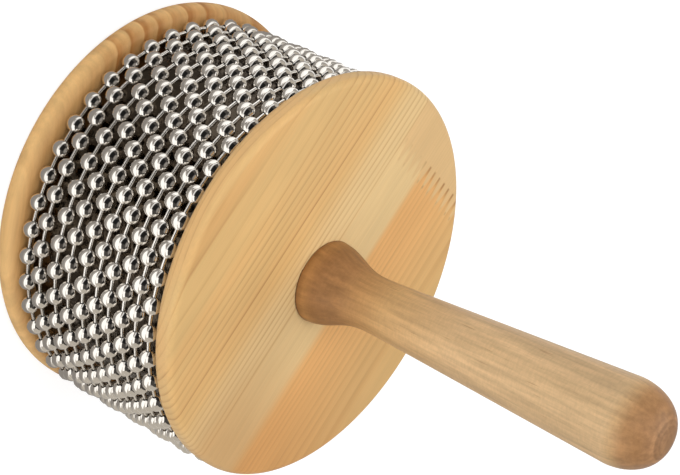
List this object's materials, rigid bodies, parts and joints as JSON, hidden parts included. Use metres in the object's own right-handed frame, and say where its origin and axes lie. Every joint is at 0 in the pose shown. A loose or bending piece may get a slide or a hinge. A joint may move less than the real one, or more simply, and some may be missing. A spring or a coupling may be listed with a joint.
{
  "type": "cabasa",
  "caption": "Hand-held scraper drum: wooden end discs, a metal-wrapped drum with loose loops of ball chain that turn on it, and a turned wooden handle.",
  "frame": {"origin": "middle of the bottom disc's outer face, the flat face that the drum stands on", "axes": "+Z along the drum's axis from the bottom disc to the handle; -Y is the side that the slack chain loops hang towards"},
  "size_m": [0.126, 0.127, 0.1908],
  "materials": {
    "handle_wood": "satin",
    "top_pine": "satin",
    "bottom_pine": "satin",
    "core_wood": "matte",
    "sleeve_steel": "satin",
    "ball_nickel": "polished",
    "link_steel": "satin",
    "fastener_steel": "zinc",
    "brass": "satin"
  },
  "bodies": {
    "drum_and_handle": {"handle": "handle_wood", "handle_insert": "brass", "top_disc": "top_pine", "bottom_disc": "bottom_pine", "drum_core": "core_wood", "scraper_sleeve": "sleeve_steel", "sleeve_tacks": "fastener_steel", "tie_bolt": "fastener_steel", "bolt_washer": "fastener_steel"},
    "chain_loop_01": {"chain_balls_01": "ball_nickel", "chain_links_01": "link_steel"},
    "chain_loop_02": {"chain_balls_02": "ball_nickel", "chain_links_02": "link_steel"},
    "chain_loop_03": {"chain_balls_03": "ball_nickel", "chain_links_03": "link_steel"},
    "chain_loop_04": {"chain_balls_04": "ball_nickel", "chain_links_04": "link_steel"},
    "chain_loop_05": {"chain_balls_05": "ball_nickel", "chain_links_05": "link_steel"},
    "chain_loop_06": {"chain_balls_06": "ball_nickel", "chain_links_06": "link_steel"},
    "chain_loop_07": {"chain_balls_07": "ball_nickel", "chain_links_07": "link_steel"},
    "chain_loop_08": {"chain_balls_08": "ball_nickel", "chain_links_08": "link_steel"},
    "chain_loop_09": {"chain_balls_09": "ball_nickel", "chain_links_09": "link_steel"},
    "chain_loop_10": {"chain_balls_10": "ball_nickel", "chain_links_10": "link_steel"}
  },
  "joints": [
    {"name": "chain_loop_01_turn", "type": "hinge", "parent": "drum_and_handle", "child": "chain_loop_01", "pos_m": [0, -0.0018, 0.01115], "axis": [0, 0, 1], "continuous": true},
    {"name": "chain_loop_02_turn", "type": "hinge", "parent": "drum_and_handle", "child": "chain_loop_02", "pos_m": [0, -0.0018, 0.01645], "axis": [0, 0, 1], "continuous": true},
    {"name": "chain_loop_03_turn", "type": "hinge", "parent": "drum_and_handle", "child": "chain_loop_03", "pos_m": [0, -0.0018, 0.02305], "axis": [0, 0, 1], "continuous": true},
    {"name": "chain_loop_04_turn", "type": "hinge", "parent": "drum_and_handle", "child": "chain_loop_04", "pos_m": [0, -0.0018, 0.02865], "axis": [0, 0, 1], "continuous": true},
    {"name": "chain_loop_05_turn", "type": "hinge", "parent": "drum_and_handle", "child": "chain_loop_05", "pos_m": [0, -0.0018, 0.03465], "axis": [0, 0, 1], "continuous": true},
    {"name": "chain_loop_06_turn", "type": "hinge", "parent": "drum_and_handle", "child": "chain_loop_06", "pos_m": [0, -0.0018, 0.04015], "axis": [0, 0, 1], "continuous": true},
    {"name": "chain_loop_07_turn", "type": "hinge", "parent": "drum_and_handle", "child": "chain_loop_07", "pos_m": [0, -0.0018, 0.04545], "axis": [0, 0, 1], "continuous": true},
    {"name": "chain_loop_08_turn", "type": "hinge", "parent": "drum_and_handle", "child": "chain_loop_08", "pos_m": [0, -0.0018, 0.05105], "axis": [0, 0, 1], "continuous": true},
    {"name": "chain_loop_09_turn", "type": "hinge", "parent": "drum_and_handle", "child": "chain_loop_09", "pos_m": [0, -0.0018, 0.05635], "axis": [0, 0, 1], "continuous": true},
    {"name": "chain_loop_10_turn", "type": "hinge", "parent": "drum_and_handle", "child": "chain_loop_10", "pos_m": [0, -0.0018, 0.06165], "axis": [0, 0, 1], "continuous": true}
  ]
}
